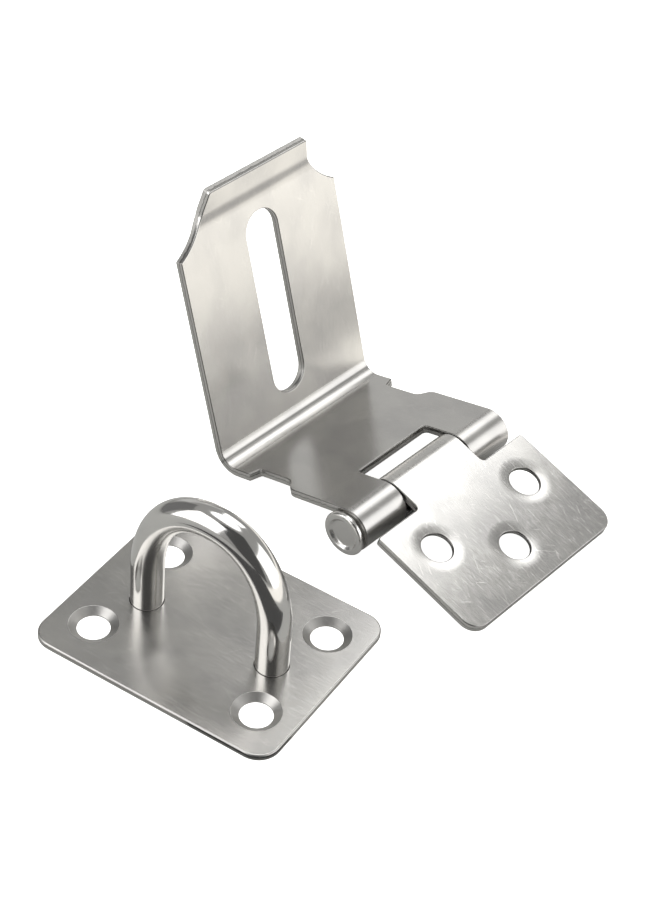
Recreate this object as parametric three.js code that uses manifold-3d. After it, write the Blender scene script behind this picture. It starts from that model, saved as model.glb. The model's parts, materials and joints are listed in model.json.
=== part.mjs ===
// Right-angle hasp and its staple, in millimetres, +Z up.
// A fixed leaf and a strap turn on one headed pin. The strap carries a slotted plate bent square to it,
// which drops over a round-bar loop fixed to a countersunk base plate.
// Both lie loose on a flat surface, with the hinge a little folded, so that the hasp rests on the leaf's
// outer edge and on the outside of the strap's bend.

import * as THREE from 'three';
import { mergeVertices } from 'three/addons/utils/BufferGeometryUtils.js';
import Module from 'manifold-3d';

const wasm = await Module();
wasm.setup();

// Driving dimensions of the hinge
const SHEET = 1.7;                 // thickness of the leaf's and the strap's steel
const BARREL_RADIUS = 4.45;        // outside of the rolled knuckles
const PIN_RADIUS = 2.65;
const CURL_ANGLE = rad(285);       // how far each knuckle is rolled round the pin
const KNUCKLE_HALF = 9.5;          // half the width of the leaf's middle knuckle
const KNUCKLE_GAP = 0.25;          // side play between neighbouring knuckles
const LEAF_TILT = rad(15.9);       // slope of the leaf at rest

const LEAF = { width: 42.3, reach: 30.8, notch: 5.9, notchRadius: 1.2, innerRadius: 0.7, outerRadius: 4 };
const LEAF_HOLES = [[13.9, -13.1], [13.9, 13.1], [22.5, 0]];
// The punch drew the leaf's face down into a soft dish round each hole; the underside is countersunk
const DISH = { hole: 3.1, foot: 5.6, dip: 0.16, rings: 4, mouth: 4.9, land: 0.75 };

// Driving dimensions of the strap. Lengths on the slotted plate start at the inside corner of its bend.
const STRAP = { width: 41.9, reach: 31.65, window: 7, windowRadius: 1, bendRadius: 2, bendAngle: rad(88.55) };
const NOTCH = { depth: 2.5, hingeEdge: 14.4, hingeFoot: 16.1, farFoot: 24.2, farEdge: 25 };
const PLATE = { shoulder: 42.75, neckHalf: 14.5, neck: 49.1, slotHalf: 4.25, slotStart: 6.1, slotEnd: 44.6 };
const LIP = { start: 48.6, length: 5.8, angle: rad(25), bendRadius: 9, tipHalf: 13.1, tipRadius: 0.8 };
const SHOULDER_HOLLOW = 0.75;      // how far the shoulder's curve dips below a straight chamfer

// Driving dimensions of the pin: its ends stand just clear of the knuckles
const PIN_END_PLAY = 0.15;
const HEAD = {
  radius: 4.5, height: 1.8, dishRadius: 3.3, dishDepth: 0.6, edge: 0.4, backRadius: 3.5, rim: 0.9,
};
const RIVET = { radius: 3.7, height: 1.1 };

// Driving dimensions of the staple
const BASE = { length: 50, width: 40, thickness: 1.2, cornerRadius: 4.5, holeX: 17.3, holeY: 11.2 };
const SCREW = { hole: 3, sink: 4.45, sinkDepth: 0.95 };
const LOOP = {
  barRadius: 3.05, spacing: 26.8, legHeight: 8.25, archHeight: 18, fullness: 0.92, forward: 0.7,
};
const LEG_SOCKET_GAP = 0.3;        // play round each leg and under it, which the weld fills
const STAPLE_PLACE = { x: -3.1, y: -53.9, turn: rad(9.3) };

const ARC_STEP = rad(7.5);
const ROUND_SEGMENTS = 48;
const LONG = 100;                  // longer than any piece, for cutters

function rad(degrees) {
  return degrees * Math.PI / 180;
}

// Booleans --------------------------------------------------------------------------------------------

function solidFrom(geometry) {
  const bare = geometry.clone();
  bare.deleteAttribute('normal');
  bare.deleteAttribute('uv');
  const merged = mergeVertices(bare, 1e-5);
  return new wasm.Manifold(new wasm.Mesh({
    numProp: 3,
    vertProperties: new Float32Array(merged.attributes.position.array),
    triVerts: new Uint32Array(merged.index.array),
  }));
}

function geometryFrom(solid) {
  const mesh = solid.getMesh();
  const geometry = new THREE.BufferGeometry();
  geometry.setAttribute('position', new THREE.BufferAttribute(new Float32Array(mesh.vertProperties), 3));
  geometry.setIndex(new THREE.BufferAttribute(new Uint32Array(mesh.triVerts), 1));
  geometry.computeVertexNormals();
  return geometry;
}

function combine(base, added, removed) {
  let solid = solidFrom(base);
  for (const geometry of added) solid = solid.add(solidFrom(geometry));
  for (const geometry of removed) solid = solid.subtract(solidFrom(geometry));
  return geometryFrom(solid);
}

// Shapes ----------------------------------------------------------------------------------------------

// Side view of a bent sheet. The walk follows one face, and the metal lies SHEET to its left.
// A move is a straight run, or a turn (left positive) round an inside radius.
function sheetProfile(x, z, heading, moves) {
  const face = [];
  const back = [];
  const point = new THREE.Vector2(x, z);
  const left = () => new THREE.Vector2(-Math.sin(heading), Math.cos(heading));
  const mark = () => {
    face.push(point.clone());
    back.unshift(point.clone().addScaledVector(left(), SHEET));
  };
  mark();
  for (const { run, turn, radius } of moves) {
    if (run !== undefined) {
      point.add(new THREE.Vector2(Math.cos(heading), Math.sin(heading)).multiplyScalar(run));
      mark();
      continue;
    }
    const side = Math.sign(turn);
    const faceRadius = side * (side > 0 ? radius + SHEET : radius);
    const centre = point.clone().addScaledVector(left(), faceRadius);
    const steps = Math.ceil(Math.abs(turn) / ARC_STEP);
    for (let step = 0; step < steps; step += 1) {
      heading += turn / steps;
      point.copy(centre).addScaledVector(left(), -faceRadius);
      mark();
    }
  }
  return new THREE.Shape([...face, ...back]);
}

// A prism of the shape, standing through the plane it is drawn in
function prism(shape, below, above) {
  const geometry = new THREE.ExtrudeGeometry(shape, {
    depth: above - below, bevelEnabled: false, curveSegments: 10,
  });
  return geometry.translate(0, 0, below);
}

// A side view drawn in X and Z, extruded along Y between two stations
function sideways(shape, from, to) {
  const geometry = new THREE.ExtrudeGeometry(shape, { depth: to - from, bevelEnabled: false });
  return geometry.rotateX(Math.PI / 2).translate(0, to, 0);
}

// A closed outline whose corners are [x, y, radius]
function roundedShape(corners) {
  const shape = new THREE.Shape();
  corners.forEach(([x, y, radius = 0], index) => {
    const corner = new THREE.Vector2(x, y);
    const before = new THREE.Vector2(...corners[(index + corners.length - 1) % corners.length]);
    const after = new THREE.Vector2(...corners[(index + 1) % corners.length]);
    const inward = before.sub(corner).normalize();
    const outward = after.sub(corner).normalize();
    const reach = radius / Math.tan(Math.acos(inward.dot(outward)) / 2);
    const start = corner.clone().addScaledVector(inward, reach);
    const end = corner.clone().addScaledVector(outward, reach);
    if (index === 0) shape.moveTo(start.x, start.y);
    else shape.lineTo(start.x, start.y);
    if (radius > 0) shape.quadraticCurveTo(x, y, end.x, end.y);
  });
  return shape;
}

// A turned cutter or boss standing on Z, from [radius, height] pairs
function turned(profile, x, y, z) {
  const points = profile.map(([radius, height]) => new THREE.Vector2(radius, height));
  const geometry = new THREE.LatheGeometry(points, ROUND_SEGMENTS);
  return geometry.rotateX(Math.PI / 2).translate(x, y, z);
}

// Pieces ----------------------------------------------------------------------------------------------

// The roll of a knuckle, from its free end to the top of the barrel, heading along -X
function curl() {
  const freeEnd = Math.PI / 2 - CURL_ANGLE;
  return {
    x: BARREL_RADIUS * Math.cos(freeEnd),
    z: BARREL_RADIUS * Math.sin(freeEnd),
    heading: freeEnd + Math.PI / 2,
    move: { turn: CURL_ANGLE, radius: BARREL_RADIUS - SHEET },
  };
}

// Cutter for a dish that steepens towards the hole, ending level above the face
function dishCutter(x, y) {
  const width = DISH.foot - DISH.hole;
  const profile = [[0, BARREL_RADIUS - DISH.dip]];
  for (let ring = DISH.rings; ring >= 0; ring -= 1) {
    const share = ring / DISH.rings;
    profile.push([DISH.foot - width * share, BARREL_RADIUS - DISH.dip * share ** 2]);
  }
  return turned([...profile, [DISH.foot, BARREL_RADIUS + 1], [0, BARREL_RADIUS + 1]], x, y, 0);
}

// Fixed leaf: a notched plate whose tongue is rolled into the middle knuckle, with three screw holes
// countersunk from the barrel's side
function leafGeometry() {
  const half = LEAF.width / 2;
  const roll = curl();
  const overlap = 3;
  const profile = sheetProfile(roll.x, roll.z, roll.heading, [roll.move, { run: overlap }]);
  const knuckle = sideways(profile, -KNUCKLE_HALF, KNUCKLE_HALF).rotateZ(Math.PI);

  const side = (sign) => [
    [overlap / 2, sign * KNUCKLE_HALF, 0],
    [LEAF.notch, sign * KNUCKLE_HALF, LEAF.notchRadius],
    [LEAF.notch, sign * half, LEAF.innerRadius],
    [LEAF.reach, sign * half, LEAF.outerRadius],
  ];
  const underside = BARREL_RADIUS - SHEET;
  const plate = prism(roundedShape([...side(-1), ...side(1).reverse()]), underside, BARREL_RADIUS);

  const landStart = BARREL_RADIUS - DISH.dip - DISH.land;
  const dishes = LEAF_HOLES.map(([x, y]) => dishCutter(x, y));
  const sinks = LEAF_HOLES.map(([x, y]) => turned([
    [0, underside - 1], [DISH.mouth, underside - 1], [DISH.mouth, underside],
    [DISH.hole, landStart], [DISH.hole, BARREL_RADIUS], [0, BARREL_RADIUS],
  ], x, y, 0));
  return combine(plate, [knuckle], [...dishes, ...sinks]);
}

// Places a drawing of the slotted plate, across and up it, on the plate's face towards the hinge
function onPlate(geometry) {
  const rise = Math.PI - STRAP.bendAngle;
  const across = new THREE.Vector3(0, 1, 0);
  const up = new THREE.Vector3(Math.cos(rise), 0, Math.sin(rise));
  const place = new THREE.Matrix4().makeBasis(across, up, across.clone().cross(up));
  return geometry.applyMatrix4(place.setPosition(-STRAP.reach, 0, BARREL_RADIUS));
}

function slotShape() {
  const { slotHalf, slotStart, slotEnd } = PLATE;
  const shape = new THREE.Shape();
  shape.absarc(0, slotEnd - slotHalf, slotHalf, 0, Math.PI);
  shape.absarc(0, slotStart + slotHalf, slotHalf, Math.PI, 2 * Math.PI);
  return shape;
}

// What is cut away beside the neck and the lip, on the side of positive Y
function shoulderShape() {
  const half = STRAP.width / 2;
  const corner = new THREE.Vector2(half, PLATE.shoulder);
  const neck = new THREE.Vector2(PLATE.neckHalf, PLATE.neck);
  const dip = new THREE.Vector2(-1, -1).normalize().multiplyScalar(2 * SHOULDER_HOLLOW);
  const pull = corner.clone().add(neck).multiplyScalar(0.5).add(dip);
  const tip = LIP.start + LIP.length;
  const shape = new THREE.Shape();
  shape.moveTo(half + 1, PLATE.shoulder);
  shape.lineTo(corner.x, corner.y);
  shape.quadraticCurveTo(pull.x, pull.y, neck.x, neck.y);
  shape.lineTo(LIP.tipHalf, tip - LIP.tipRadius);
  shape.lineTo(LIP.tipHalf - LIP.tipRadius, tip + LIP.tipRadius);
  shape.lineTo(half + 1, tip + SHEET * 2);
  return shape;
}

function sideNotchShape() {
  const half = STRAP.width / 2;
  return new THREE.Shape([
    new THREE.Vector2(-NOTCH.farEdge, half),
    new THREE.Vector2(-NOTCH.farFoot, half - NOTCH.depth),
    new THREE.Vector2(-NOTCH.hingeFoot, half - NOTCH.depth),
    new THREE.Vector2(-NOTCH.hingeEdge, half),
    new THREE.Vector2(-NOTCH.hingeEdge, half + 1),
    new THREE.Vector2(-NOTCH.farEdge, half + 1),
  ]);
}

function mirrored(shape) {
  return new THREE.Shape(shape.getPoints(10).map((point) => new THREE.Vector2(point.x, -point.y)));
}

function flipped(shape) {
  return new THREE.Shape(shape.getPoints(10).map((point) => new THREE.Vector2(-point.x, point.y)));
}

// Strap: two rolled knuckles, a windowed web, the slotted plate and its bent lip, all from one sheet
function strapGeometry() {
  const roll = curl();
  const setback = STRAP.bendRadius * Math.tan(STRAP.bendAngle / 2);
  const lipSetback = LIP.bendRadius * Math.tan(LIP.angle / 2);
  const profile = sheetProfile(roll.x, roll.z, roll.heading, [
    roll.move,
    { run: STRAP.reach - setback },
    { turn: -STRAP.bendAngle, radius: STRAP.bendRadius },
    { run: LIP.start - setback - lipSetback },
    { turn: -LIP.angle, radius: LIP.bendRadius },
    { run: LIP.length - lipSetback },
  ]);
  const blank = sideways(profile, -STRAP.width / 2, STRAP.width / 2);

  const gap = KNUCKLE_HALF + KNUCKLE_GAP;
  const past = BARREL_RADIUS + 1;
  const window = roundedShape([
    [past, -gap, 0], [past, gap, 0],
    [-STRAP.window, gap, STRAP.windowRadius], [-STRAP.window, -gap, STRAP.windowRadius],
  ]);
  const notch = sideNotchShape();
  const shoulder = shoulderShape();
  return combine(blank, [], [
    prism(window, -past, past),
    prism(notch, 0, past),
    prism(mirrored(notch), 0, past),
    onPlate(prism(slotShape(), -SHEET * 2, SHEET)),
    onPlate(prism(shoulder, -SHEET * 2, SHEET * 4)),
    onPlate(prism(flipped(shoulder), -SHEET * 2, SHEET * 4)),
  ]);
}

// Hinge pin: a dished head at the -Y end, a plain shank, and the other end riveted over
function pinGeometry() {
  const end = STRAP.width / 2 + PIN_END_PLAY;
  const face = -end - HEAD.height;
  const rivet = end + RIVET.height;
  const profile = [
    [0, face + HEAD.dishDepth], [HEAD.dishRadius - HEAD.edge, face + HEAD.dishDepth], [HEAD.dishRadius, face],
    [HEAD.radius - HEAD.edge, face], [HEAD.radius, face + HEAD.edge], [HEAD.radius, face + HEAD.rim],
    [HEAD.backRadius, face + HEAD.rim + HEAD.edge], [HEAD.backRadius, -end], [PIN_RADIUS, -end],
    [PIN_RADIUS, end], [RIVET.radius, end], [RIVET.radius, end + 0.3],
    [RIVET.radius * 0.85, end + 0.75], [RIVET.radius * 0.5, rivet], [0, rivet],
  ];
  return new THREE.LatheGeometry(profile.map(([radius, y]) => new THREE.Vector2(radius, y)), ROUND_SEGMENTS);
}

// Base plate: rounded corners, four countersunk screw holes and a socket for each leg of the loop
function baseGeometry() {
  const x = BASE.length / 2;
  const y = BASE.width / 2;
  const r = BASE.cornerRadius;
  const outline = roundedShape([[-x, -y, r], [x, -y, r], [x, y, r], [-x, y, r]]);
  const top = BASE.thickness;
  const screws = [-1, 1].flatMap((i) => [-1, 1].map((j) => turned([
    [0, -1], [SCREW.hole, -1], [SCREW.hole, top - SCREW.sinkDepth], [SCREW.sink, top], [SCREW.sink, top + 1],
    [0, top + 1],
  ], i * BASE.holeX, j * BASE.holeY, 0)));
  const socket = LOOP.barRadius + LEG_SOCKET_GAP;
  const sockets = [-1, 1].map((i) => turned([
    [0, -1], [socket, -1], [socket, top + 1], [0, top + 1],
  ], i * LOOP.spacing / 2, -LOOP.forward, 0));
  return combine(prism(outline, 0, top), [], [...screws, ...sockets]);
}

// Centre line of the loop: two straight legs joined by a full, rather tall arch
class LoopPath extends THREE.Curve {
  getPoint(t, target = new THREE.Vector3()) {
    const springing = BASE.thickness + LOOP.legHeight;
    const foot = LEG_SOCKET_GAP;
    const legShare = 0.25;
    const half = LOOP.spacing / 2;
    if (t < legShare) return target.set(-half, 0, foot + (springing - foot) * t / legShare);
    if (t > 1 - legShare) return target.set(half, 0, foot + (springing - foot) * (1 - t) / legShare);
    const angle = Math.PI * (1 - (t - legShare) / (1 - 2 * legShare));
    const across = Math.cos(angle);
    const rise = Math.max(Math.sin(angle), 0) ** LOOP.fullness;
    return target.set(half * Math.sign(across) * Math.abs(across) ** LOOP.fullness, 0,
      springing + LOOP.archHeight * rise);
  }
}

function loopGeometry() {
  const section = new THREE.Shape();
  section.absarc(0, 0, LOOP.barRadius, 0, 2 * Math.PI);
  const geometry = new THREE.ExtrudeGeometry(section, {
    steps: 56, curveSegments: 10, extrudePath: new LoopPath(), bevelEnabled: false,
  });
  return geometry.translate(0, -LOOP.forward, 0);
}

// Assembly --------------------------------------------------------------------------------------------

function steel(color, roughness) {
  return new THREE.MeshStandardMaterial({ color, roughness, metalness: 1, flatShading: true });
}

function piece(name, geometry, material) {
  const mesh = new THREE.Mesh(geometry, material);
  mesh.name = name;
  return mesh;
}

// Height of the hinge axis when the leaf's outer edge touches the ground
const axisHeight = LEAF.reach * Math.sin(LEAF_TILT) - (BARREL_RADIUS - SHEET) * Math.cos(LEAF_TILT);

// Slope of the strap that brings the outside of its bend down to the same ground
function strapTilt() {
  const up = BARREL_RADIUS + STRAP.bendRadius;
  const out = STRAP.reach - STRAP.bendRadius * Math.tan(STRAP.bendAngle / 2);
  return Math.acos((STRAP.bendRadius + SHEET - axisHeight) / Math.hypot(up, out)) - Math.atan2(out, up);
}

function hasp() {
  const brushed = { leaf: steel(0xc9c9c6, 0.32), strap: steel(0xbdbdb9, 0.34), pin: steel(0xd6d6d4, 0.18) };
  const leafSide = new THREE.Group();
  leafSide.rotation.y = LEAF_TILT;
  leafSide.add(piece('fixed_leaf', leafGeometry(), brushed.leaf));
  const strapSide = new THREE.Group();
  strapSide.rotation.y = -strapTilt();
  strapSide.add(piece('strap', strapGeometry(), brushed.strap));
  strapSide.add(piece('hinge_pin', pinGeometry(), brushed.pin));
  const group = new THREE.Group();
  group.position.z = axisHeight;
  group.add(leafSide, strapSide);
  return group;
}

function staple() {
  const group = new THREE.Group();
  group.position.set(STAPLE_PLACE.x, STAPLE_PLACE.y, 0);
  group.rotation.z = STAPLE_PLACE.turn;
  group.add(piece('staple_plate', baseGeometry(), steel(0xb4b4b0, 0.3)));
  group.add(piece('staple_loop', loopGeometry(), steel(0xd0d0ce, 0.12)));
  return group;
}

// The origin is the middle of the set's footprint, on the surface that it lies on
function assembly() {
  const set = new THREE.Group();
  set.add(hasp(), staple());
  set.updateMatrixWorld(true);
  const box = new THREE.Box3().setFromObject(set, true);
  set.position.set(-(box.min.x + box.max.x) / 2, -(box.min.y + box.max.y) / 2, -box.min.z);
  return set;
}

export default assembly();
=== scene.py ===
"""Right-angle hasp and its staple: fine stainless steel pieces, their finish, the camera and the light."""

import json
import math

import bpy
import numpy as np
from mathutils import Matrix, Vector
from mathutils.geometry import delaunay_2d_cdt


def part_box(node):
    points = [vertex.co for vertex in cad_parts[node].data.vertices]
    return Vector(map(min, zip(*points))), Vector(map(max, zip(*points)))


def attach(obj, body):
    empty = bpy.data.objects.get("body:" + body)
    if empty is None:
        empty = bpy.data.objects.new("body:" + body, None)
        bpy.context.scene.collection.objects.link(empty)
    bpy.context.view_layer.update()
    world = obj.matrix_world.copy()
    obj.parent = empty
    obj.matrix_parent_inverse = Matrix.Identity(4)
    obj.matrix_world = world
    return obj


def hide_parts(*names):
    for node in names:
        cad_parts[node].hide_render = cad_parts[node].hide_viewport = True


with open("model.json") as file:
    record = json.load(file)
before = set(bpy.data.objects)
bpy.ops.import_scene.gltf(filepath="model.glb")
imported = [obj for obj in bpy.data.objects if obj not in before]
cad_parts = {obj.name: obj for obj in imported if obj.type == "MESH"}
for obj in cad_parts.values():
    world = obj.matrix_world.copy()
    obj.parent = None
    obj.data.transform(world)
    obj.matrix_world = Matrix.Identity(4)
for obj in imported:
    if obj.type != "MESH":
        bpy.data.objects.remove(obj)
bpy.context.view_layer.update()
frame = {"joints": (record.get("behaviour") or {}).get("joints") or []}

MM = 0.001

# Driving dimensions of the hinge and its leaf, in millimetres, as in the CAD source
SHEET = 1.7                        # thickness of the leaf's and the strap's steel
BARREL_RADIUS = 4.45               # outside of the rolled knuckles
PIN_RADIUS = 2.65
CURL_ANGLE = math.radians(285)     # how far each knuckle is rolled round the pin
KNUCKLE_HALF = 9.5                 # half the width of the leaf's middle knuckle
KNUCKLE_GAP = 0.25                 # side play between neighbouring knuckles
LEAF_TILT = math.radians(15.9)     # slope of the leaf at rest
LEAF = dict(width=42.3, reach=30.8, notch=5.9, notch_radius=1.2, inner_radius=0.7, outer_radius=4)
LEAF_HOLES = [(13.9, -13.1), (13.9, 13.1), (22.5, 0)]
DISH = dict(hole=3.1, foot=5.6, dip=0.16, mouth=4.9, land=0.75)

# Driving dimensions of the strap. Lengths on the slotted plate start at the inside corner of its bend.
STRAP = dict(
    width=41.9, reach=31.65, window=7, window_radius=1, bend_radius=2, bend_angle=math.radians(88.55),
)
NOTCH = dict(depth=2.5, hinge_edge=14.4, hinge_foot=16.1, far_foot=24.2, far_edge=25)
PLATE = dict(shoulder=42.75, neck_half=14.5, neck=49.1, slot_half=4.25, slot_start=6.1, slot_end=44.6)
LIP = dict(start=48.6, length=5.8, angle=math.radians(25), bend_radius=9, tip_half=13.1, tip_radius=0.6)
SHOULDER_HOLLOW = 0.75             # how far the shoulder's curve dips below a straight chamfer

# Driving dimensions of the pin
PIN_END_PLAY = 0.15
HEAD = dict(radius=4.5, height=1.8, dish_radius=3.3, dish_depth=0.6, back_radius=3.5, rim=0.9)
RIVET = dict(radius=3.7, height=1.1)

# Driving dimensions of the staple
BASE = dict(length=50, width=40, thickness=1.2, corner_radius=4.5, hole_x=17.3, hole_y=11.2)
SCREW = dict(hole=3, sink=4.45, sink_depth=0.95)
LOOP = dict(bar_radius=3.05, spacing=26.8, leg_height=8.25, arch_height=18, fullness=0.92, forward=0.7)
STAPLE_TURN = math.radians(9.3)

# Fine shape that only the looks need
BEND_RADIUS = 3.0                  # inside of the strap's bend, a little softer than the solid's
SHEET_EDGE = 0.22                  # rounding of the sheared edges
BASE_EDGE = 0.34                   # the base plate's top edge is rolled over more
BASE_BURR = 0.12                   # and its bottom edge less
SMALL_EDGE = 0.1                   # rounding of the pin's and the sockets' edges
TONGUE_CORNER = 0.3                # corners of the sheet where the knuckles' rolls begin
NOTCH_CORNER = 2.2                 # corners of the strap's side notch on the hinge's side
NOTCH_FOOT_CORNER = 0.4            # and on its far side
NOTCH_EDGE_CORNER = 0.3
CORNER_SHARE = 0.853               # a circular corner as full as the CAD's parabolic one
BASE_CORNER_SHARE = 0.95           # the base plate's corners, a little rounder than that
LEG_PLAY = 0.05                    # the loop's legs sit close in the base plate
BAR_END = 0.25                     # rounding of the loop bar's ends
FACE_REACH = 5                     # how far an edge's section starts inside the sheet's face
ARC_STEP = math.radians(5)
CORNER_STEP = math.radians(9)
GRID = 1.0                         # spacing of the mesh on flat sheet
CROWDING = 0.35                    # how close to an edge, in spacings, the mesh has points of its own
ROUND_POINTS = 72


# Paths -----------------------------------------------------------------------------------------------

def corner_arc(here, arrive, turn, radius):
    """Points and unit tangents of the arc that rounds one corner, which is reached along arrive."""
    start = here - arrive * radius * math.tan(abs(turn) / 2)
    left = np.array([-arrive[1], arrive[0]]) * math.copysign(1, turn)
    centre = start + left * radius
    steps = max(3, math.ceil(abs(turn) / CORNER_STEP))
    points, tangents = [], []
    for step in range(steps + 1):
        spin = turn * step / steps
        cosine, sine = math.cos(spin), math.sin(spin)
        turned = np.array([[cosine, -sine], [sine, cosine]])
        points.append(centre - turned @ left * radius)
        tangents.append(turned @ arrive)
    return points, tangents


def rounded_path(corners, closed=True):
    """Points, unit tangents and offset scales along straight runs whose corners (x, y, radius) are arcs."""
    points = []
    tangents = []
    scales = []
    count = len(corners)
    for index, corner in enumerate(corners):
        here = np.array(corner[:2], float)
        radius = corner[2] if len(corner) > 2 else 0
        before = np.array(corners[index - 1][:2], float)
        after = np.array(corners[(index + 1) % count][:2], float)
        if not closed and index in (0, count - 1):
            run = after - here if index == 0 else here - before
            points.append(here)
            tangents.append(run / np.linalg.norm(run))
            scales.append(1)
            continue
        arrive = (here - before) / np.linalg.norm(here - before)
        leave = (after - here) / np.linalg.norm(after - here)
        turn = math.atan2(arrive[0] * leave[1] - arrive[1] * leave[0], arrive @ leave)
        if radius == 0 or abs(turn) < 1e-6:
            middle = (arrive + leave) / np.linalg.norm(arrive + leave)
            points.append(here)
            tangents.append(middle)
            scales.append(1 / math.cos(turn / 2))
            continue
        arc_points, arc_tangents = corner_arc(here, arrive, turn, radius)
        points += arc_points
        tangents += arc_tangents
        scales += [1] * len(arc_points)
    return np.array(points), np.array(tangents), np.array(scales, float)


def densified(path, pitch):
    """The closed path with points added on its long runs, so that none is longer than pitch(x)."""
    points, tangents, scales = path
    new_points, new_tangents, new_scales = [], [], []
    for index in range(len(points)):
        here, after = points[index], points[(index + 1) % len(points)]
        new_points.append(here)
        new_tangents.append(tangents[index])
        new_scales.append(scales[index])
        run = after - here
        length = np.linalg.norm(run)
        spacing = min(pitch(here[0]), pitch(after[0]), pitch((here[0] + after[0]) / 2))
        pieces = math.ceil(length / spacing - 1e-6)
        for piece in range(1, pieces):
            new_points.append(here + run * piece / pieces)
            new_tangents.append(run / length)
            new_scales.append(1)
    return np.array(new_points), np.array(new_tangents), np.array(new_scales, float)


def circle(x, y, radius):
    """A hole's edge, walked with the metal on its left."""
    angles = -np.arange(ROUND_POINTS) * 2 * np.pi / ROUND_POINTS
    spokes = np.column_stack([np.cos(angles), np.sin(angles)])
    tangents = np.column_stack([np.sin(angles), -np.cos(angles)])
    return np.array([x, y]) + spokes * radius, tangents, np.ones(ROUND_POINTS)


class BentPath:
    """The side view of a bent sheet: a walk along one face, with the metal on its left."""

    def __init__(self, x, z, heading, moves):
        self.parts = []
        self.length = 0.0
        for kind, amount, radius in moves:
            part = dict(kind=kind, start=self.length, x=x, z=z, heading=heading, amount=amount, radius=radius)
            self.parts.append(part)
            run = amount if kind == "run" else abs(amount) * radius
            x, z, heading = (float(v[0]) for v in self.step(part, np.array([run]), np.array([0.0])))
            self.length += run

    @staticmethod
    def step(part, along, depth):
        heading = np.full(len(along), part["heading"])
        left = (-math.sin(part["heading"]), math.cos(part["heading"]))
        if part["kind"] == "run":
            x = part["x"] + along * math.cos(part["heading"]) + depth * left[0]
            z = part["z"] + along * math.sin(part["heading"]) + depth * left[1]
            return x, z, heading
        side = math.copysign(1, part["amount"])
        heading = heading + side * along / part["radius"]
        reach = side * part["radius"] - depth
        x = part["x"] + left[0] * side * part["radius"] + np.sin(heading) * reach
        z = part["z"] + left[1] * side * part["radius"] - np.cos(heading) * reach
        return x, z, heading

    def place(self, along, depth):
        """Positions and heading at distances along the face, at depths into the metal."""
        x, z, heading = np.zeros(len(along)), np.zeros(len(along)), np.zeros(len(along))
        for index, part in enumerate(self.parts):
            reached = along >= part["start"] if index else np.full(len(along), True)
            x[reached], z[reached], heading[reached] = self.step(
                part, along[reached] - part["start"], depth[reached])
        return x, z, heading

    def spacing(self, along):
        """How far apart mesh points may be, along the face."""
        part = [p for p in self.parts if p["start"] <= along + 1e-9 or p is self.parts[0]][-1]
        return GRID if part["kind"] == "run" else part["radius"] * ARC_STEP

    def stations(self):
        """Distances along the face where the mesh has a row of points."""
        rows = []
        for part in self.parts:
            run = part["amount"] if part["kind"] == "run" else abs(part["amount"]) * part["radius"]
            steps = math.ceil(run / self.spacing(part["start"] + run / 2))
            rows += [part["start"] + run * step / steps for step in range(steps)]
        return np.array(rows + [self.length])


# Meshes ----------------------------------------------------------------------------------------------

def object_from(name, points, normals, faces, grain, wall):
    """A smooth object in metres, with exact normals. Its attributes are grain, the metal's own coordinates in
    metres, and wall, which is 0 on the sheet's faces and 1 on its sheared sides."""
    mesh = bpy.data.meshes.new(name)
    mesh.from_pydata([tuple(p) for p in points * MM], [], faces)
    mesh.update()
    mesh.shade_smooth()
    normals = normals / np.linalg.norm(normals, axis=1)[:, None]
    mesh.normals_split_custom_set_from_vertices([tuple(n) for n in normals])
    layer = mesh.attributes.new("grain", "FLOAT_VECTOR", "POINT")
    layer.data.foreach_set("vector", (grain * MM).astype(np.float32).ravel())
    mesh.attributes.new("wall", "FLOAT", "POINT").data.foreach_set("value", wall.astype(np.float32))
    piece = bpy.data.objects.new(name, mesh)
    bpy.context.scene.collection.objects.link(piece)
    return piece


def inside(points, loops):
    """Which points lie in the metal: inside an odd number of the loops."""
    result = np.zeros(len(points), bool)
    x, y = points[:, 0], points[:, 1]
    for loop in loops:
        for a, b in zip(loop, np.roll(loop, -1, axis=0)):
            crosses = (a[1] > y) != (b[1] > y)
            if crosses.any():
                at = a[0] + (y[crosses] - a[1]) * (b[0] - a[0]) / (b[1] - a[1])
                result[crosses] ^= x[crosses] < at
    return result


def far_from(points, others, distance):
    """Which points keep the distance from all the others."""
    keep = np.ones(len(points), bool)
    batch = 200                    # measured at a time, which keeps the table small
    for start in range(0, len(others), batch):
        gaps = np.linalg.norm(points[:, None] - others[None, start:start + batch], axis=2)
        keep &= gaps.min(axis=1) > distance
    return keep


def filled(loops, extra):
    """Triangles that fill the face between the loops, as indices into the loops' points and then extra's."""
    points = np.vstack([*loops, extra]) if len(extra) else np.vstack(loops)
    edges = []
    start = 0
    for loop in loops:
        count = len(loop)
        edges += [(start + i, start + (i + 1) % count) for i in range(count)]
        start += count
    made = delaunay_2d_cdt([Vector(p) for p in points], edges, [], 1, 1e-7)
    corners = np.array([tuple(v) for v in made[0]])
    source = [ids[0] for ids in made[3]]
    triangles = np.array([tuple(face) for face in made[2]])
    middles = corners[triangles].mean(axis=1)
    first, second, third = (corners[triangles[:, i]] for i in range(3))
    area = np.cross(second - first, third - first)
    kept = triangles[inside(middles, loops) & (np.abs(area) > 1e-9)]
    return [tuple(source[i] for i in face) for face in kept]


def edge_profile(corners):
    """A wall's section from the top face down to the bottom face: outward, height, and its normal."""
    points, tangents, _ = rounded_path(corners, closed=False)
    normals = np.column_stack([-tangents[:, 1], tangents[:, 0]])
    return points[1:-1], normals[1:-1]


def plain_edge(thickness, top, bottom):
    """The section of a square wall whose top and bottom edges are rounded."""
    return edge_profile([
        (-FACE_REACH, 0), (0, 0, top), (0, -thickness, bottom), (-FACE_REACH, -thickness),
    ])


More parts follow.
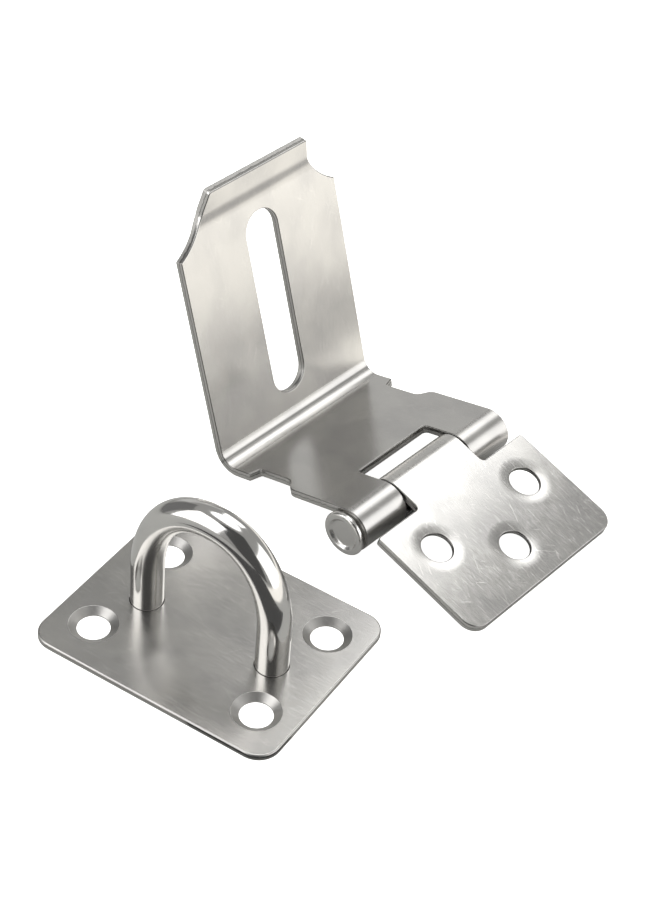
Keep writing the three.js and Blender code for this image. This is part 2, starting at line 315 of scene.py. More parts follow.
def sheared_walls(contours):
    """The sides of a sheet round its (path, profile) contours: points and normals on the blank, the faces,
    and the rings of point numbers that each contour has from its top edge to its bottom edge."""
    blank, normals, faces = [], [], []
    rings_of = []
    total = 0
    for (points, tangents, scales), (section, section_normals) in contours:
        outward = np.column_stack([tangents[:, 1], -tangents[:, 0]])
        rings = []
        for (out, height), (normal_out, normal_up) in zip(section, section_normals):
            places = points + outward * (out * scales)[:, None]
            blank.append(np.column_stack([places, np.full(len(points), height)]))
            normals.append(np.column_stack([outward * normal_out, np.full(len(points), normal_up)]))
            rings.append(np.arange(total, total + len(points)))
            total += len(points)
        for upper, lower in zip(rings, rings[1:]):
            for i in range(len(upper)):
                j = (i + 1) % len(upper)
                faces.append((upper[i], lower[i], lower[j], upper[j]))
        rings_of.append(rings)
    return np.vstack(blank), np.vstack(normals), faces, rings_of


def sheet_object(name, contours, bend, rows, columns, place, dishes=()):
    """A sheet piece. contours are (path, profile) pairs; rows and columns are the mesh lines on its faces.
    Blank coordinates are along, across and height; place turns them and their normals into the piece's."""
    walls, wall_normals, faces, rings_of = sheared_walls(contours)
    blank, normals = [walls], [wall_normals]
    total = len(walls)
    grid = np.array([(along, across) for along in rows for across in columns])
    closest = CROWDING * min(bend.spacing(along) for along in rows)
    for side, level in ((1, 0), (-1, -1)):
        loops = [walls[rings[level], :2] for rings in rings_of]
        height = walls[rings_of[0][level][0], 2]
        spots = dished_spots(grid, dishes) if side > 0 else grid
        spots = spots[inside(spots, loops)]
        spots = spots[far_from(spots, np.vstack(loops), closest)]
        raised, slope = dished(spots, dishes if side > 0 else ())
        ids = np.concatenate([*(rings[level] for rings in rings_of), np.arange(total, total + len(spots))])
        blank.append(np.column_stack([spots, height + raised]))
        normals.append(np.column_stack([-slope * side, np.full(len(spots), float(side))]))
        total += len(spots)
        for triangle in filled(loops, spots):
            a, b, c = (int(ids[i]) for i in triangle)
            faces.append((a, b, c) if side > 0 else (a, c, b))
    blank, normals = np.vstack(blank), np.vstack(normals)
    wall = np.linalg.norm(normals[:, :2], axis=1)
    wall[len(walls):] = 0
    return object_from(name, *place(blank, normals), faces, blank, wall)


def ring_object(name, rings, ring_normals, grain, poles):
    """A closed round piece from rings of points, with a pole (point, normal, grain) at each end."""
    count = len(rings[0])
    points = np.vstack([*rings, [poles[0][0], poles[1][0]]])
    normals = np.vstack([*ring_normals, [poles[0][1], poles[1][1]]])
    grain = np.vstack([*grain, [poles[0][2], poles[1][2]]])
    start, end = len(points) - 2, len(points) - 1
    last = (len(rings) - 1) * count
    faces = []
    for j in range(count):
        k = (j + 1) % count
        faces.append((start, j, k))
        faces.append((end, last + k, last + j))
        for i in range(len(rings) - 1):
            faces.append((i * count + j, (i + 1) * count + j, (i + 1) * count + k, i * count + k))
    return object_from(name, points, normals, faces, grain, np.zeros(len(points)))


# Dishes ----------------------------------------------------------------------------------------------

def dished(spots, dishes):
    """How far the dishes round the holes lower the top face, and its slope."""
    width = DISH["foot"] - DISH["hole"]
    height = np.zeros(len(spots))
    slope = np.zeros((len(spots), 2))
    for x, y in dishes:
        offset = spots - np.array([x, y])
        distance = np.maximum(np.linalg.norm(offset, axis=1), 1e-9)
        share = np.clip((DISH["foot"] - distance) / width, 0, 1)
        height -= DISH["dip"] * share ** 2
        slope += (DISH["dip"] * 2 * share / width / distance)[:, None] * offset
    return height, slope


def dished_spots(grid, dishes):
    """The grid's points outside the dishes, and rings of points inside them."""
    spots = [grid]
    reach = DISH["foot"] + 0.4 * GRID
    for x, y in dishes:
        spots[0] = spots[0][np.linalg.norm(spots[0] - np.array([x, y]), axis=1) > reach]
        radii = np.linspace(DISH["hole"] + 2 * SHEET_EDGE, DISH["foot"], 11)
        spots += [circle(x, y, radius)[0] for radius in radii]
    return np.vstack(spots)


# Bent sheet ------------------------------------------------------------------------------------------

CURL_LENGTH = CURL_ANGLE * BARREL_RADIUS


def curl_start():
    """Where a knuckle's rolled sheet ends, and its heading there, walking towards the top of the barrel."""
    free_end = math.pi / 2 - CURL_ANGLE
    return BARREL_RADIUS * math.cos(free_end), BARREL_RADIUS * math.sin(free_end), free_end + math.pi / 2


def on_bend(bend):
    """Blank to bent sheet, walking along -X: across runs along -Y, so that the top face stays outward."""
    def place(blank, normals):
        x, z, heading = bend.place(blank[:, 0], -blank[:, 2])
        cosine, sine = np.cos(heading), np.sin(heading)
        along, across, up = normals.T
        return (np.column_stack([x, -blank[:, 1], z]),
                np.column_stack([along * cosine + up * sine, -across, along * sine - up * cosine]))
    return place


def mirror_ends(corners):
    """The corners walked along -across, then the same ones walked back along +across."""
    return [(x, -y, *r) for x, y, *r in corners] + [(x, y, *r) for x, y, *r in reversed(corners)]


def columns_to(half):
    """Mesh lines across a sheet of this half width."""
    return np.linspace(-half, half, round(2 * half / GRID) + 1)


def make_leaf():
    """Fixed leaf: a notched plate with three dished holes, its tongue rolled into the middle knuckle."""
    top = CURL_LENGTH
    bend = BentPath(*curl_start(), [("turn", CURL_ANGLE, BARREL_RADIUS), ("run", LEAF["reach"], 0)])
    half = LEAF["width"] / 2
    outline = rounded_path(mirror_ends([
        (0, KNUCKLE_HALF, TONGUE_CORNER),
        (top + LEAF["notch"], KNUCKLE_HALF, LEAF["notch_radius"] * CORNER_SHARE),
        (top + LEAF["notch"], half, LEAF["inner_radius"] * CORNER_SHARE),
        (top + LEAF["reach"], half, LEAF["outer_radius"] * CORNER_SHARE),
    ]))
    contours = [(densified(outline, bend.spacing), plain_edge(SHEET, SHEET_EDGE, SHEET_EDGE))]
    flare = DISH["hole"] - DISH["mouth"]
    rim = -DISH["dip"]
    steepness = 2 * DISH["dip"] / (DISH["foot"] - DISH["hole"])
    land_edge = 0.08
    sunk = edge_profile([
        (-FACE_REACH, rim + FACE_REACH * steepness), (0, rim, SHEET_EDGE), (0, rim - DISH["land"], land_edge),
        (flare, -SHEET, SHEET_EDGE), (-FACE_REACH, -SHEET),
    ])
    holes = [(top + x, y) for x, y in LEAF_HOLES]
    contours += [(circle(x, y, DISH["hole"]), sunk) for x, y in holes]
    return sheet_object("leaf_sheet", contours, bend, bend.stations(), columns_to(half), on_bend(bend), holes)


def strap_path():
    """The strap's side view, and a function that turns a height drawn square to the slotted plate into a
    distance along the blank."""
    setback = BEND_RADIUS * math.tan(STRAP["bend_angle"] / 2)
    lip_setback = LIP["bend_radius"] * math.tan(LIP["angle"] / 2)
    bend = BentPath(*curl_start(), [
        ("turn", CURL_ANGLE, BARREL_RADIUS),
        ("run", STRAP["reach"] - setback, 0),
        ("turn", -STRAP["bend_angle"], BEND_RADIUS),
        ("run", LIP["start"] - setback - lip_setback, 0),
        ("turn", -LIP["angle"], LIP["bend_radius"]),
        ("run", LIP["length"] - lip_setback, 0),
    ])
    plate_start, lip_start, lip_end = (bend.parts[i]["start"] for i in (3, 4, 5))
    lip_cosine = math.cos(LIP["angle"])
    heights = [setback, LIP["start"] - lip_setback, LIP["start"] + lip_setback * lip_cosine,
               LIP["start"] + LIP["length"] * lip_cosine]

    def up_plate(height):
        return float(np.interp(height, heights, [plate_start, lip_start, lip_end, bend.length]))

    return bend, up_plate


def shoulder_curve(up_plate):
    """The hollow curve from the plate's shoulder to its neck, as corners of the outline."""
    shoulder = np.array([PLATE["shoulder"], STRAP["width"] / 2])
    neck = np.array([PLATE["neck"], PLATE["neck_half"]])
    shoulder_corner = 0.25
    pull = (shoulder + neck) / 2 - SHOULDER_HOLLOW * math.sqrt(2)
    corners = []
    for share in np.linspace(0, 1, 11):
        point = (1 - share) ** 2 * shoulder + 2 * share * (1 - share) * pull + share ** 2 * neck
        corners.append((up_plate(point[0]), point[1], 0 if share else shoulder_corner))
    return corners


def slot_outline(up_plate):
    """The plate's slot. Its corner arcs are a hair smaller than its round ends, so that they don't meet."""
    half = PLATE["slot_half"]
    start, end = up_plate(PLATE["slot_start"]), up_plate(PLATE["slot_end"])
    corners = [(start, -half), (start, half), (end, half), (end, -half)]
    return rounded_path([(x, y, half - 1e-3) for x, y in corners])


def make_strap():
    """Strap: two rolled knuckles, a windowed web, the slotted plate and its bent lip, all from one sheet."""
    top = CURL_LENGTH
    bend, up_plate = strap_path()
    half = STRAP["width"] / 2
    foot = half - NOTCH["depth"]
    gap = KNUCKLE_HALF + KNUCKLE_GAP
    outline = rounded_path(mirror_ends([
        (top + STRAP["window"], gap, STRAP["window_radius"] * CORNER_SHARE),
        (0, gap, TONGUE_CORNER),
        (0, half, TONGUE_CORNER),
        (top + NOTCH["hinge_edge"], half, NOTCH_CORNER),
        (top + NOTCH["hinge_foot"], foot, NOTCH_CORNER),
        (top + NOTCH["far_foot"], foot, NOTCH_FOOT_CORNER),
        (top + NOTCH["far_edge"], half, NOTCH_EDGE_CORNER),
        *shoulder_curve(up_plate),
        (bend.length, LIP["tip_half"], LIP["tip_radius"]),
    ]))
    side = plain_edge(SHEET, SHEET_EDGE, SHEET_EDGE)
    contours = [(densified(path, bend.spacing), side) for path in (outline, slot_outline(up_plate))]
    return sheet_object("strap_sheet", contours, bend, bend.stations(), columns_to(half), on_bend(bend))


class FlatPath:
    """Stands for a bent path where the sheet is flat."""

    @staticmethod
    def spacing(along):
        return GRID


def make_base():
    """Staple base plate: rounded corners, four countersunk holes and a socket for each leg of the loop."""
    x, y = BASE["length"] / 2, BASE["width"] / 2
    thickness = BASE["thickness"]
    radius = BASE["corner_radius"] * BASE_CORNER_SHARE
    outline = rounded_path([(-x, -y, radius), (x, -y, radius), (x, y, radius), (-x, y, radius)])
    contours = [(densified(outline, FlatPath.spacing), plain_edge(thickness, BASE_EDGE, BASE_BURR))]
    mouth_edge, throat_edge, back_edge = 0.14, 0.06, 0.08
    countersink = edge_profile([
        (-FACE_REACH, 0), (SCREW["hole"] - SCREW["sink"], 0, mouth_edge),
        (0, -SCREW["sink_depth"], throat_edge), (0, -thickness, back_edge), (-FACE_REACH, -thickness),
    ])
    for i in (-1, 1):
        for j in (-1, 1):
            contours.append((circle(i * BASE["hole_x"], j * BASE["hole_y"], SCREW["hole"]), countersink))
        socket = circle(i * LOOP["spacing"] / 2, -LOOP["forward"], LOOP["bar_radius"] + LEG_PLAY)
        contours.append((socket, plain_edge(thickness, SMALL_EDGE, SMALL_EDGE)))

    def place(blank, normals):
        return blank + np.array([0, 0, thickness]), normals

    rows = np.linspace(-x, x, round(2 * x / GRID) + 1)
    return sheet_object("base_sheet", contours, FlatPath, rows, columns_to(y), place)


# Round pieces ----------------------------------------------------------------------------------------

def pin_profile():
    """Half of the pin's section, as corners (radius, y, rounding) from the head's middle to the rivet's."""
    end = STRAP["width"] / 2 + PIN_END_PLAY
    face = -end - HEAD["height"]
    rivet = end + RIVET["height"]
    rim, dish = HEAD["radius"], HEAD["dish_radius"]
    floor_of_dish = face + HEAD["dish_depth"]
    dish_slope, back_slope = 0.6, 0.3
    rivet_wall, rivet_crown = 0.45, 0.05
    return [
        (0, floor_of_dish), (dish - dish_slope, floor_of_dish, 0.7), (dish, face, 0.25),
        (rim, face, 0.5), (rim, face + HEAD["rim"], 0.35),
        (HEAD["back_radius"], face + HEAD["rim"] + back_slope, SMALL_EDGE),
        (HEAD["back_radius"], -end, SMALL_EDGE), (PIN_RADIUS, -end, SMALL_EDGE),
        (PIN_RADIUS, end, SMALL_EDGE), (RIVET["radius"], end, SMALL_EDGE),
        (RIVET["radius"], end + rivet_wall, 0.3), (RIVET["radius"] * 0.6, rivet - rivet_crown, 1.2),
        (0, rivet),
    ]


def make_pin():
    """Headed pin, turned about Y: a dished head at the -Y end, and the other end riveted over."""
    points, tangents, _ = rounded_path(pin_profile(), closed=False)
    angles = np.arange(ROUND_POINTS) * 2 * np.pi / ROUND_POINTS
    cosine, sine = np.cos(angles), np.sin(angles)
    rings, ring_normals, grain = [], [], []
    travelled = 0.0
    for index in range(1, len(points) - 1):
        radius, y = points[index]
        travelled += float(np.linalg.norm(points[index] - points[index - 1]))
        rings.append(np.column_stack([radius * cosine, np.full(ROUND_POINTS, y), radius * sine]))
        out, along = tangents[index][1], -tangents[index][0]
        ring_normals.append(np.column_stack([out * cosine, np.full(ROUND_POINTS, along), out * sine]))
        grain.append(np.column_stack([radius * cosine, np.full(ROUND_POINTS, travelled), radius * sine]))
    poles = [
        ((0, points[0][1], 0), (0, -1, 0), (0, 0, 0)),
        ((0, points[-1][1], 0), (0, 1, 0), (0, travelled, 0)),
    ]
    return ring_object("headed_pin", rings, ring_normals, grain, poles)


def loop_line():
    """Evenly spaced points along the loop's centre line, in the plane of the loop: two legs and an arch."""
    springing = BASE["thickness"] + LOOP["leg_height"]
    half = LOOP["spacing"] / 2
    fine, final = 721, 241         # points on the arch as drawn, and on the line in the end
    angles = np.linspace(math.pi, 0, fine)
    fullness = LOOP["fullness"]
    across = half * np.sign(np.cos(angles)) * np.abs(np.cos(angles)) ** fullness
    rise = springing + LOOP["arch_height"] * np.clip(np.sin(angles), 0, None) ** fullness
    line = np.vstack([[(-half, LEG_PLAY)], np.column_stack([across, rise]), [(half, LEG_PLAY)]])
    travelled = np.concatenate([[0], np.cumsum(np.linalg.norm(np.diff(line, axis=0), axis=1))])
    even = np.linspace(0, travelled[-1], final)
    line = np.column_stack([np.interp(even, travelled, line[:, i]) for i in range(2)])
    smoothings = 20                # the bender's rollers leave no sudden change of curve
    for _ in range(smoothings):
        line[1:-1] = (line[:-2] + 2 * line[1:-1] + line[2:]) / 4
    return line, even


def bar_stations(count):
    """The bar's rings, with a rounded edge at each end: the point on the centre line, the radius, how far the
    normal leans outward and along, and the shift along the line."""
    bar = LOOP["bar_radius"]
    edge = []
    for turn in np.linspace(0, math.pi / 2, 5):
        out, along = math.sin(turn), math.cos(turn)
        edge.append((bar - BAR_END * (1 - out), out, along, BAR_END * (1 - along)))
    first = [(0, radius, out, -along, shift) for radius, out, along, shift in edge]
    last = [(count - 1, radius, out, along, -shift) for radius, out, along, shift in reversed(edge)]
    return first + [(index, bar, 1, 0, 0) for index in range(2, count - 2)] + last


def make_loop():
    """Staple loop: a round bar bent to an arch."""
    line, travelled = loop_line()
    tangents = np.gradient(line, axis=0)
    tangents /= np.linalg.norm(tangents, axis=1)[:, None]
    bar = LOOP["bar_radius"]
    angles = np.arange(ROUND_POINTS) * 2 * np.pi / ROUND_POINTS
    rings, ring_normals, grain = [], [], []
    for index, radius, out, along, shift in bar_stations(len(line)):
        tx, tz = tangents[index]
        spokes = np.column_stack([-tz * np.cos(angles), np.sin(angles), tx * np.cos(angles)])
        tangent = np.array([tx, 0, tz])
        centre = np.array([line[index][0], -LOOP["forward"], line[index][1]]) + tangent * shift
        rings.append(centre + spokes * radius)
        ring_normals.append(spokes * out + tangent * along)
        grain.append(np.column_stack([np.full(ROUND_POINTS, travelled[index] + shift),
                                      bar * np.cos(angles), bar * np.sin(angles)]))
    poles = [(rings[i].mean(axis=0), (0, 0, -1), grain[i].mean(axis=0)) for i in (0, -1)]
    return ring_object("loop_bar", rings, ring_normals, grain, poles)


# Assembly --------------------------------------------------------------------------------------------

hinge = frame["joints"][0]
axis = Vector(hinge["pos_m"])


def strap_tilt():
    """Slope of the strap when the outside of its bend lies on the ground, as in the CAD source."""
    up = BARREL_RADIUS + STRAP["bend_radius"]
    out = STRAP["reach"] - STRAP["bend_radius"] * math.tan(STRAP["bend_angle"] / 2)
    drop = STRAP["bend_radius"] + SHEET - axis.z / MM
    return math.acos(drop / math.hypot(up, out)) - math.atan2(out, up)


def settle(piece, place, body, node):
    """Puts a finished piece where its CAD node is, and lets it stand for the node."""
    piece.data.transform(place)
    piece.data.update()
    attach(piece, body)
    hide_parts(node)


low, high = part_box("staple_plate")
leaf_place = Matrix.Translation(axis) @ Matrix.Rotation(LEAF_TILT, 4, "Y") @ Matrix.Rotation(math.pi, 4, "Z")
strap_place = Matrix.Translation(axis) @ Matrix.Rotation(-strap_tilt(), 4, "Y")
staple_middle = Vector(((low.x + high.x) / 2, (low.y + high.y) / 2, 0))
staple_place = Matrix.Translation(staple_middle) @ Matrix.Rotation(STAPLE_TURN, 4, "Z")

leaf = make_leaf()
strap = make_strap()
pin = make_pin()
base = make_base()
loop = make_loop()
settle(leaf, leaf_place, "fixed_side", "fixed_leaf")
settle(strap, strap_place, "swinging_side", "strap")
settle(pin, strap_place, "swinging_side", "hinge_pin")
settle(base, staple_place, "staple", "staple_plate")
settle(loop, staple_place, "staple", "staple_loop")


# Materials -------------------------------------------------------------------------------------------

class Nodes:
    """Short ways to add nodes to a material."""

    def __init__(self, name):
        self.material = bpy.data.materials.new(name)
        self.material.use_nodes = True
        self.tree = self.material.node_tree
        self.shader = self.tree.nodes["Principled BSDF"]

    def put(self, value, socket):
        if isinstance(value, bpy.types.NodeSocket):
            self.tree.links.new(value, socket)
        else:
            socket.default_value = value

    def attribute(self, name, output):
        node = self.tree.nodes.new("ShaderNodeAttribute")
        node.attribute_name = name
        return node.outputs[output]

    def math(self, operation, a, b=0.0, clamp=False):
        node = self.tree.nodes.new("ShaderNodeMath")
        node.operation = operation
        node.use_clamp = clamp
        self.put(a, node.inputs[0])
        self.put(b, node.inputs[1])
        return node.outputs[0]

    def plus(self, a, b):
        return self.math("ADD", a, b)

    def minus(self, a, b):
        return self.math("SUBTRACT", a, b)

    def times(self, a, b):
        return self.math("MULTIPLY", a, b)

    def components(self, vector):
        node = self.tree.nodes.new("ShaderNodeSeparateXYZ")
        self.put(vector, node.inputs[0])
        return node.outputs

    def stretched(self, vector, factors):
        node = self.tree.nodes.new("ShaderNodeVectorMath")
        node.operation = "MULTIPLY"
        self.put(vector, node.inputs[0])
        node.inputs[1].default_value = factors
        return node.outputs[0]

    def turned(self, vector, angle):
        node = self.tree.nodes.new("ShaderNodeVectorRotate")
        node.rotation_type = "Z_AXIS"
        self.put(vector, node.inputs["Vector"])
        node.inputs["Angle"].default_value = angle
        return node.outputs[0]

    def noise(self, vector, detail=3.0, rough=0.5, distortion=0.0):
        node = self.tree.nodes.new("ShaderNodeTexNoise")
        self.put(vector, node.inputs["Vector"])
        node.inputs["Scale"].default_value = 1.0
        node.inputs["Detail"].default_value = detail
        node.inputs["Roughness"].default_value = rough
        node.inputs["Distortion"].default_value = distortion
        return node.outputs["Fac"]

    def between(self, value, low, high):
        """A soft step from 0 at low to 1 at high."""
        node = self.tree.nodes.new("ShaderNodeMapRange")
        node.interpolation_type = "SMOOTHSTEP"
        self.put(value, node.inputs["Value"])
        node.inputs["From Min"].default_value = low
        node.inputs["From Max"].default_value = high
        return node.outputs["Result"]

    def band(self, value, start, full_from, full_to, end):
        """1 from full_from to full_to, fading softly to 0 at start and end."""
        return self.times(self.between(value, start, full_from), self.between(value, end, full_to))

    def mix(self, factor, a, b):
        node = self.tree.nodes.new("ShaderNodeMix")
        node.data_type = "RGBA"
        self.put(factor, node.inputs["Factor"])
        self.put(a, node.inputs["A"])
        self.put(b, node.inputs["B"])
        return node.outputs["Result"]

    def bump(self, height_mm):
        node = self.tree.nodes.new("ShaderNodeBump")
        node.inputs["Distance"].default_value = MM
        self.put(height_mm, node.inputs["Height"])
        self.put(node.outputs["Normal"], self.shader.inputs["Normal"])


def tinted(color, factor):
    """The colour made darker or lighter, as a socket takes it."""
    return [factor * c for c in color] + [1.0]


def scratches(nodes, grain, angle, fineness, cover):
    """Sparse thin scratches along one direction, as a value from 0 to 1."""
    line = nodes.stretched(nodes.turned(grain, angle), (0.17, fineness, fineness))
    patch = nodes.noise(nodes.stretched(grain, (0.25, 0.25, 0.25)), detail=1)
    value = nodes.noise(line, detail=1, distortion=0.4)
    return nodes.times(nodes.between(value, 1 - cover, 1.02 - cover), nodes.between(patch, 0.45, 0.6))


def sheared_side(nodes, grain, height, wall, thickness):
    """Where a sheared side is torn, and where the tear starts as a crack, drawn as a line of painted shade.
    It is burnished near the face that the punch met, and torn and dull below it."""
    depth = nodes.times(height, -1 / thickness)
    ragged = nodes.noise(nodes.stretched(grain, (0.9, 0.9, 0.05)), detail=4, rough=0.7)
    below = nodes.plus(depth, nodes.times(nodes.minus(ragged, 0.5), 0.5))
    side = nodes.between(wall, 0.9, 1.0)
    torn = nodes.times(nodes.between(below, 0.42, 0.5), side)
    # The crack has no shape of its own: its dark line is painted shade.
    crack_shade = nodes.times(nodes.band(below, 0.38, 0.43, 0.46, 0.51), side)
    return torn, crack_shade


def press_marks(nodes, along, bend):
    """What the press leaves round a bend: painted shade along the crease under its tool's tip, and a duller
    strip.
    """
    start, end = bend
    tip = start + 0.62 * (end - start)
    fade = 0.8
    # The crease has no shape of its own: it is drawn as a thin line of painted shade.
    crease_shade = nodes.band(along, tip - 0.3, tip - 0.08, tip + 0.08, tip + 0.3)
    return crease_shade, nodes.band(along, start - fade, start + fade, end - fade, end + fade)


def put_color(nodes, color, clouds, layers):
    """The metal's colour, a little clouded, with layers (amount, tint) over it."""
    dark = [0.93 * color[0], 0.93 * color[1], 0.94 * color[2], 1.0]
    shade = nodes.mix(nodes.between(clouds, 0.35, 0.65), dark, tinted(color, 1.05))
    for amount, factor in layers:
        shade = nodes.mix(amount, shade, tinted(color, factor))
    nodes.put(shade, nodes.shader.inputs["Base Color"])
    nodes.shader.inputs["Metallic"].default_value = 1.0


def put_roughness(nodes, roughness, layers):
    """The metal's roughness, with layers (amount, how much duller) added to it."""
    for amount, duller in layers:
        roughness = nodes.plus(roughness, nodes.times(amount, duller))
    nodes.put(nodes.math("MAXIMUM", roughness, 0.03), nodes.shader.inputs["Roughness"])


def put_relief(nodes, grain, wall, torn, layers):
    """Fine relief: layers (value, height in mm) on the sheet's faces, and a ragged tear on its sides."""
    relief = 0.0
    for value, height in layers:
        relief = nodes.plus(relief, nodes.times(value, height))
    relief = nodes.times(relief, nodes.math("SUBTRACT", 1.0, wall, clamp=True))
    tear = nodes.noise(nodes.stretched(grain, (3.5, 3.5, 1.2)), detail=3, rough=0.7)
    nodes.bump(nodes.plus(relief, nodes.times(nodes.times(tear, torn), 0.035)))


def steel(name, color, roughness, thickness=SHEET, brushing=1.0, wave=1.0, scratch=1.0, edge_shade=0.85,
          rolled=0.0, bend=None):
    """Stainless steel: brushed along the sheet, a little wavy, scratched by handling, with sheared sides.
    rolled is how much duller its knuckle is. bend is where its pressed bend starts and ends, in mm.
    edge_shade is how much painted shade darkens the rounded edges; the more of it, the shinier they are too."""
    nodes = Nodes(name)
    grain = nodes.stretched(nodes.attribute("grain", "Vector"), (1 / MM, 1 / MM, 1 / MM))
    along, _, height = nodes.components(grain)
    wall = nodes.attribute("wall", "Fac")
    clouds = nodes.noise(nodes.stretched(grain, (0.06, 0.09, 0.09)), detail=2)
    smudge = nodes.noise(nodes.stretched(grain, (0.35, 0.3, 0.3)), detail=3)
    brush = nodes.noise(nodes.stretched(grain, (0.4, 2.6, 2.6)), detail=3, rough=0.6)
    marks = nodes.plus(scratches(nodes, grain, 0.5, 2.6, 0.31), scratches(nodes, grain, -0.9, 2.2, 0.3))
    torn, crack_shade = sheared_side(nodes, grain, height, wall, thickness)
    # The rounded edges, which put_color darkens with painted shade into a dark outline
    edge = nodes.band(wall, 0.15, 0.6, 0.85, 1.0)
    crease_shade, pressed = press_marks(nodes, along, bend) if bend else (0.0, 0.0)
    knuckle = nodes.between(along, CURL_LENGTH + 1, CURL_LENGTH - 2)
    stroke = nodes.times(nodes.between(brush, 0.54, 0.68), 0.25 * brushing)
    scored = nodes.math("MULTIPLY", marks, 0.4 * scratch, clamp=True)
    # Colour layers: lighter brush strokes and scratches, a darker torn side, and painted shade on the rounded
    # edges, in the crack and along the crease.
    put_color(nodes, color, clouds, (
        (stroke, 1.35), (scored, 1.45), (torn, 0.9), (nodes.times(edge, edge_shade), 0.2),
        (nodes.times(crack_shade, 0.8), 0.12), (nodes.times(crease_shade, 0.6), 0.3),
    ))
    put_roughness(nodes, roughness, (
        (nodes.minus(smudge, 0.5), 0.08 * brushing), (nodes.minus(brush, 0.5), 0.13 * brushing),
        (edge, 0.14 - 0.2 * edge_shade), (torn, 0.35), (knuckle, rolled), (pressed, 0.09),
    ))
    put_relief(nodes, grain, wall, torn, (
        (brush, 0.0022 * brushing), (clouds, 0.08 * wave), (marks, -0.0025 * scratch),
    ))
    return nodes.material


def strap_bend():
    """Where the strap's bend starts and ends, along the sheet."""
    start = CURL_LENGTH + STRAP["reach"] - BEND_RADIUS * math.tan(STRAP["bend_angle"] / 2)
    return start, start + STRAP["bend_angle"] * BEND_RADIUS


FINISHES = (
    (leaf, steel("leaf_steel", (0.6, 0.59, 0.57), 0.23, brushing=1.5, wave=0.7, scratch=1.1, rolled=0.06)),
    (strap, steel("strap_steel", (0.56, 0.55, 0.53), 0.21, brushing=0.5, wave=0.2, scratch=0.4, rolled=0.1,
                  bend=strap_bend())),
    (pin, steel("pin_steel", (0.66, 0.65, 0.63), 0.2, brushing=0.5, wave=0.2)),
    (base, steel("plate_steel", (0.53, 0.52, 0.5), 0.24, thickness=BASE["thickness"], brushing=0.8, wave=0.6,
                 scratch=0.6, edge_shade=0.1)),
    (loop, steel("loop_steel", (0.68, 0.67, 0.65), 0.12, brushing=0.12, wave=0.15, scratch=0.3)),
)
for piece, finish in FINISHES:
    piece.data.materials.append(finish)


# Stage, light and camera -----------------------------------------------------------------------------

def add_sheet(name, size, color, glow=0.0):
    """A square sheet of the stage, level until it is turned. It may glow in its own colour."""
    mesh = bpy.data.meshes.new(name)
    half = size / 2
    corners = [(-half, -half, 0), (half, -half, 0), (half, half, 0), (-half, half, 0)]
    mesh.from_pydata(corners, [], [(0, 1, 2, 3)])
    material = bpy.data.materials.new(name)
    material.use_nodes = True
    shader = material.node_tree.nodes["Principled BSDF"]
    shader.inputs["Base Color"].default_value = (*color, 1)
    shader.inputs["Roughness"].default_value = 1.0
    shader.inputs["Specular IOR Level"].default_value = 0.0
    shader.inputs["Emission Color"].default_value = (*color, 1)
    shader.inputs["Emission Strength"].default_value = glow
    mesh.materials.append(material)
    sheet = bpy.data.objects.new(name, mesh)
    bpy.context.scene.collection.objects.link(sheet)
    return sheet


def add_card(name, width, depth, radiance):
    """A self-lit card that only reflections see."""
    card = add_sheet(name, 1, radiance, glow=1.0)
    shader = card.active_material.node_tree.nodes["Principled BSDF"]
    shader.inputs["Base Color"].default_value = (0, 0, 0, 1)
    card.scale = (width, depth, 1)
    card.visible_camera = card.visible_diffuse = card.visible_shadow = False
    return card


def direction(azimuth, elevation):
    """The unit vector towards a bearing from +Y, clockwise, at a height above the horizon, in degrees."""
    a, e = math.radians(azimuth), math.radians(elevation)
    return Vector((math.sin(a) * math.cos(e), math.cos(a) * math.cos(e), math.sin(e)))


def facing(piece, azimuth, elevation, distance, centre):
    """Puts a panel that looks along its -Z at a bearing from the centre, looking at it."""
    towards = direction(azimuth, elevation)
    piece.location = centre + towards * distance
    piece.rotation_mode = "QUATERNION"
    piece.rotation_quaternion = towards.to_track_quat("Z", "Y")


def add_softbox(name, azimuth, elevation, distance, width, height, radiance, centre, round_box=False):
    """An area light that faces the centre, as bright in a reflection as its radiance says."""
    data = bpy.data.lights.new(name, "AREA")
    data.shape = "ELLIPSE" if round_box else "RECTANGLE"
    data.size, data.size_y = width, height
    area = width * height * (math.pi / 4 if round_box else 1)
    data.energy = radiance * area * math.pi
    light = bpy.data.objects.new(name, data)
    bpy.context.scene.collection.objects.link(light)
    light.visible_camera = False
    facing(light, azimuth, elevation, distance, centre)


def add_flag(name, azimuth, elevation, distance, width, height, centre, grey):
    """A dark grey card that stands facing the centre."""
    flag = add_card(name, width, height, (grey, grey, grey))
    facing(flag, azimuth, elevation, distance, centre)


def add_ground(name, low_x, high_x, low_y, high_y, radiance, height):
    """A card that lies on the table, from the corner (low_x, low_y) to (high_x, high_y)."""
    ground = add_card(name, high_x - low_x, high_y - low_y, radiance)
    ground.location = ((low_x + high_x) / 2, (low_y + high_y) / 2, height)


def add_dark_strip(name, azimuth, near, far, width, centre, grey):
    """A dark card that lies on the table, a strip that runs away from the centre."""
    strip = add_card(name, width, far - near, (grey, grey, grey))
    strip.location = centre + direction(azimuth, 0) * (near + far) / 2
    strip.rotation_euler.z = -math.radians(azimuth)


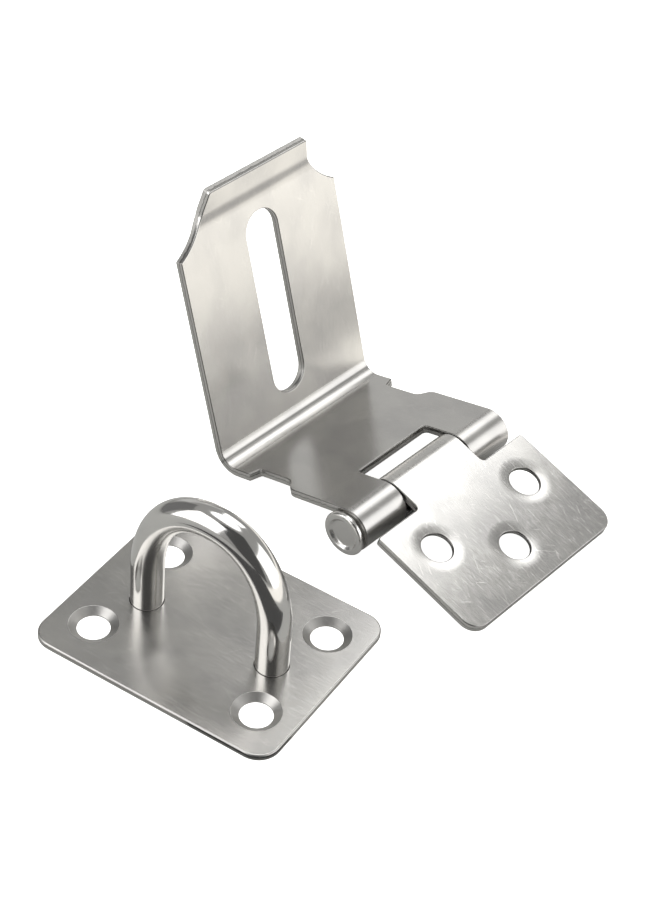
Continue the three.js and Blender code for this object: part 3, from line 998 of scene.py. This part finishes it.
def add_ground_cards():
    """The white floor is only for the camera. Reflections see a grey table with cards on it instead."""
    floor = add_sheet("floor", 20, (0.9, 0.9, 0.885), glow=1.1)
    floor.visible_glossy = floor.visible_diffuse = floor.visible_shadow = False
    table = add_sheet("table", 20, (0.5, 0.5, 0.49))
    table.visible_camera = table.visible_diffuse = table.visible_shadow = False
    warm_white = (1.42, 1.38, 1.3)
    shade = (0.62, 0.61, 0.59)
    add_ground("ground_behind", -0.1, 1.5, 0.056, 1.5, warm_white, 0.0001)
    add_ground("ground_right", 0.085, 1.5, -0.12, 0.056, warm_white, 0.0001)
    add_ground("ground_shade", 0.006, 0.07, 0.06, 0.12, shade, 0.0003)


def add_sky():
    """An even grey sky, and tones shown as they are."""
    world = bpy.data.worlds.new("studio")
    bpy.context.scene.world = world
    world.use_nodes = True
    background = world.node_tree.nodes["Background"]
    background.inputs["Color"].default_value = (0.4, 0.4, 0.39, 1)
    background.inputs["Strength"].default_value = 1.0
    bpy.context.scene.view_settings.view_transform = "Standard"


def add_lights():
    """Softboxes and dark flags at fixed bearings round the object."""
    middle = Vector((0, 0, 0.02))
    hinge_middle = Vector((0.01, 0.02, 0.01))
    staple_foot = Vector((0.005, -0.027, 0.0002))
    add_softbox("overhead", -30, 80, 0.45, 0.34, 0.34, 1.8, middle, round_box=True)
    add_softbox("back", -16, 52, 0.28, 0.13, 0.13, 2.1, hinge_middle)
    add_softbox("right", 70, 18, 0.5, 0.7, 0.4, 1.6, middle)
    add_softbox("back_left", -50, 15, 0.6, 0.42, 0.3, 0.24, middle)
    add_softbox("left", -155, 30, 0.55, 0.45, 0.6, 2.2, middle)
    add_flag("camera_side", 143, 30, 0.75, 0.75, 1.4, middle, 0.09)
    add_dark_strip("ground_front", 143, 0.022, 1.0, 0.09, staple_foot, 0.09)
    add_flag("far_left", -100, 22, 0.6, 0.5, 0.55, middle, 0.2)


def add_camera():
    """The photo's camera, solved from the edges of both pieces."""
    data = bpy.data.cameras.new("camera")
    data.sensor_width = 36
    data.lens = 84.1
    camera = bpy.data.objects.new("camera", data)
    bpy.context.scene.collection.objects.link(camera)
    bearing, elevation = 141.8, 41.0
    back = direction(bearing, elevation)
    roll = math.radians(5.5)
    distance = 0.372658
    target = Vector((0.0050935, 0.0028935, 0.0252416))
    camera.location = target + back * distance
    camera.rotation_mode = "QUATERNION"
    upright = back.to_track_quat("Z", "Y")
    camera.rotation_quaternion = upright @ Matrix.Rotation(roll, 3, "Z").to_quaternion()
    bpy.context.scene.camera = camera


add_ground_cards()
add_sky()
add_lights()
add_camera()
